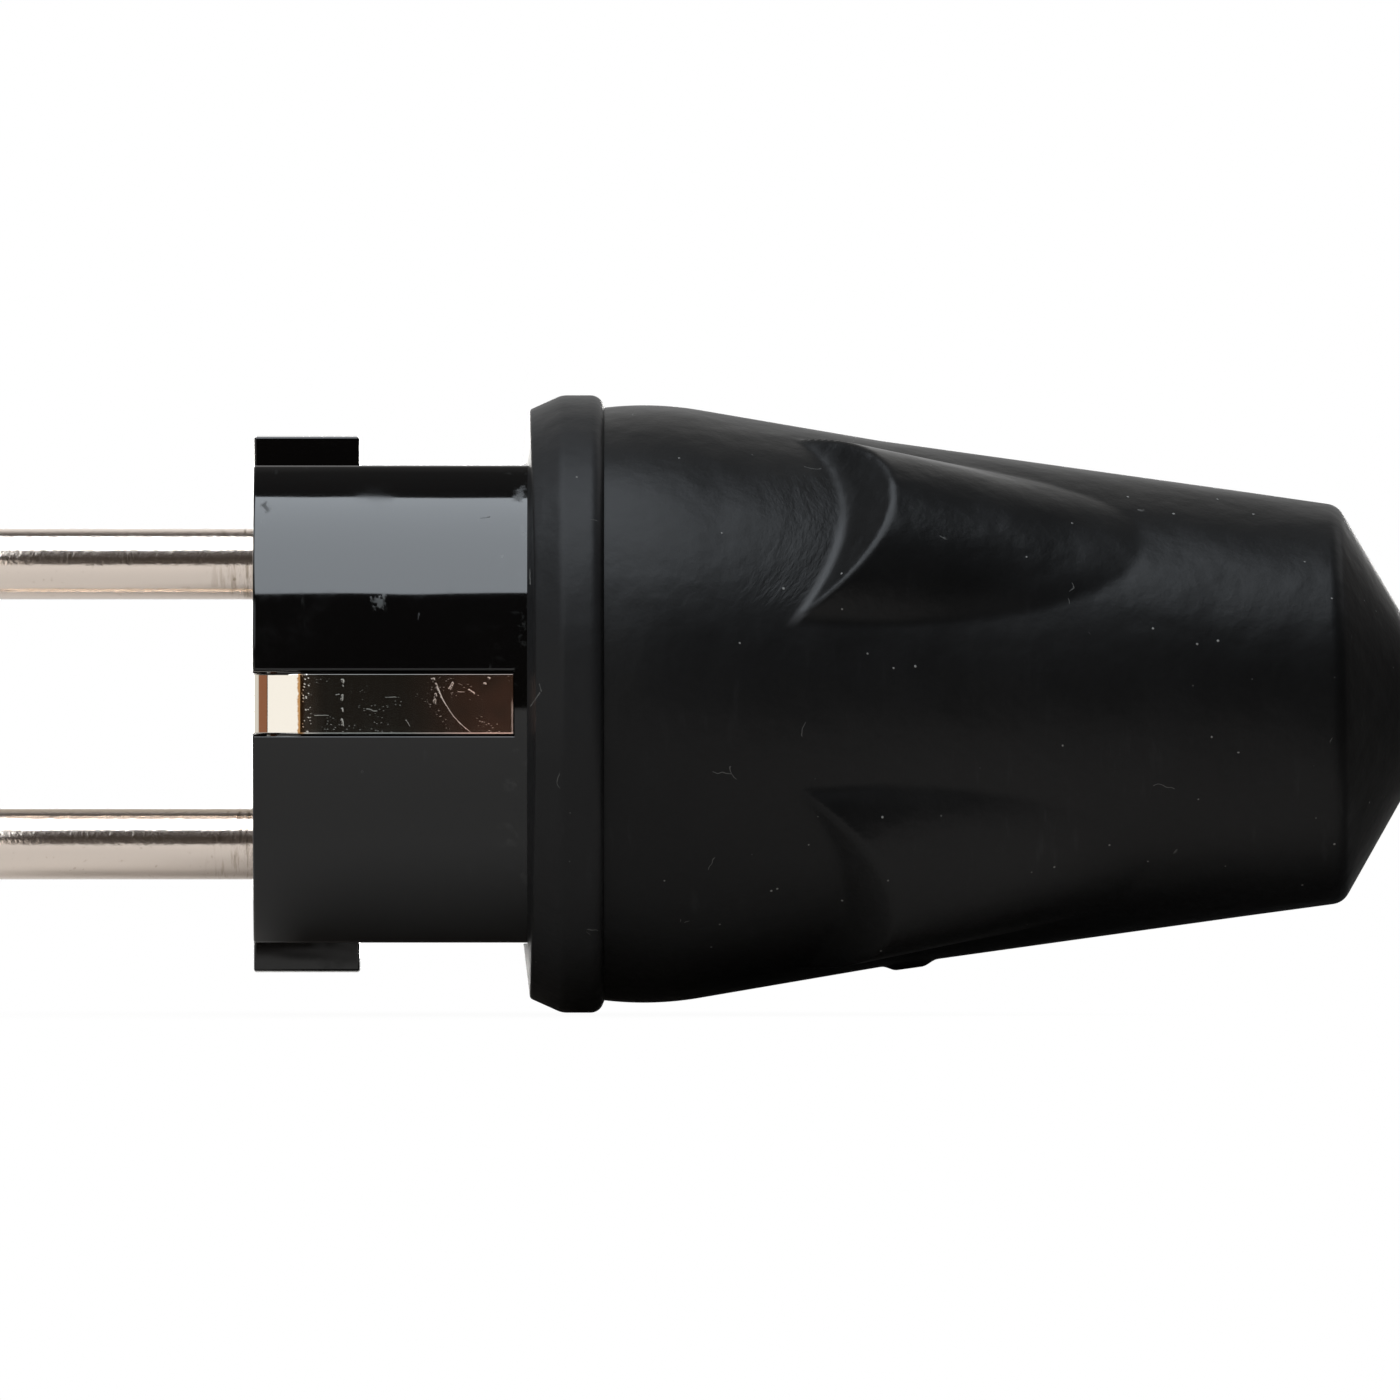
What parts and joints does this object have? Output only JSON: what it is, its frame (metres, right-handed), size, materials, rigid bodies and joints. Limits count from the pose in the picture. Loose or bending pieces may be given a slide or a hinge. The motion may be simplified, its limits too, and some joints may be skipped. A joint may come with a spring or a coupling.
{
  "type": "rubber power plug",
  "caption": "Round mains plug with plain pins, side earth strips and an earth hole in a glossy front moulding, held in a tapered rubber hood with raised grip lugs.",
  "frame": {"origin": "middle of the engagement face that meets the bottom of the socket outlet", "axes": "+X along the plug's axis towards the cable end, +Z from one pin to the other, +Y towards the earth hole"},
  "size_m": [0.0969, 0.0419, 0.0418],
  "materials": {
    "rubber": "satin",
    "carrier": "gloss",
    "inner_moulding": "matte",
    "plated_brass": "nickel plated",
    "strip": "nickel plated",
    "brass": "satin",
    "screws": "zinc plated"
  },
  "bodies": {
    "root": {"rubber_hood": "rubber", "contact_carrier": "carrier", "terminal_plate": "inner_moulding", "cable_clamp": "inner_moulding", "line_pin": "plated_brass", "neutral_pin": "plated_brass", "earth_bracket": "strip", "earth_socket": "strip", "line_terminal": "brass", "neutral_terminal": "brass", "earth_terminal": "brass", "terminal_screws": "screws", "plate_screws": "screws", "clamp_screws": "screws"}
  },
  "joints": []
}
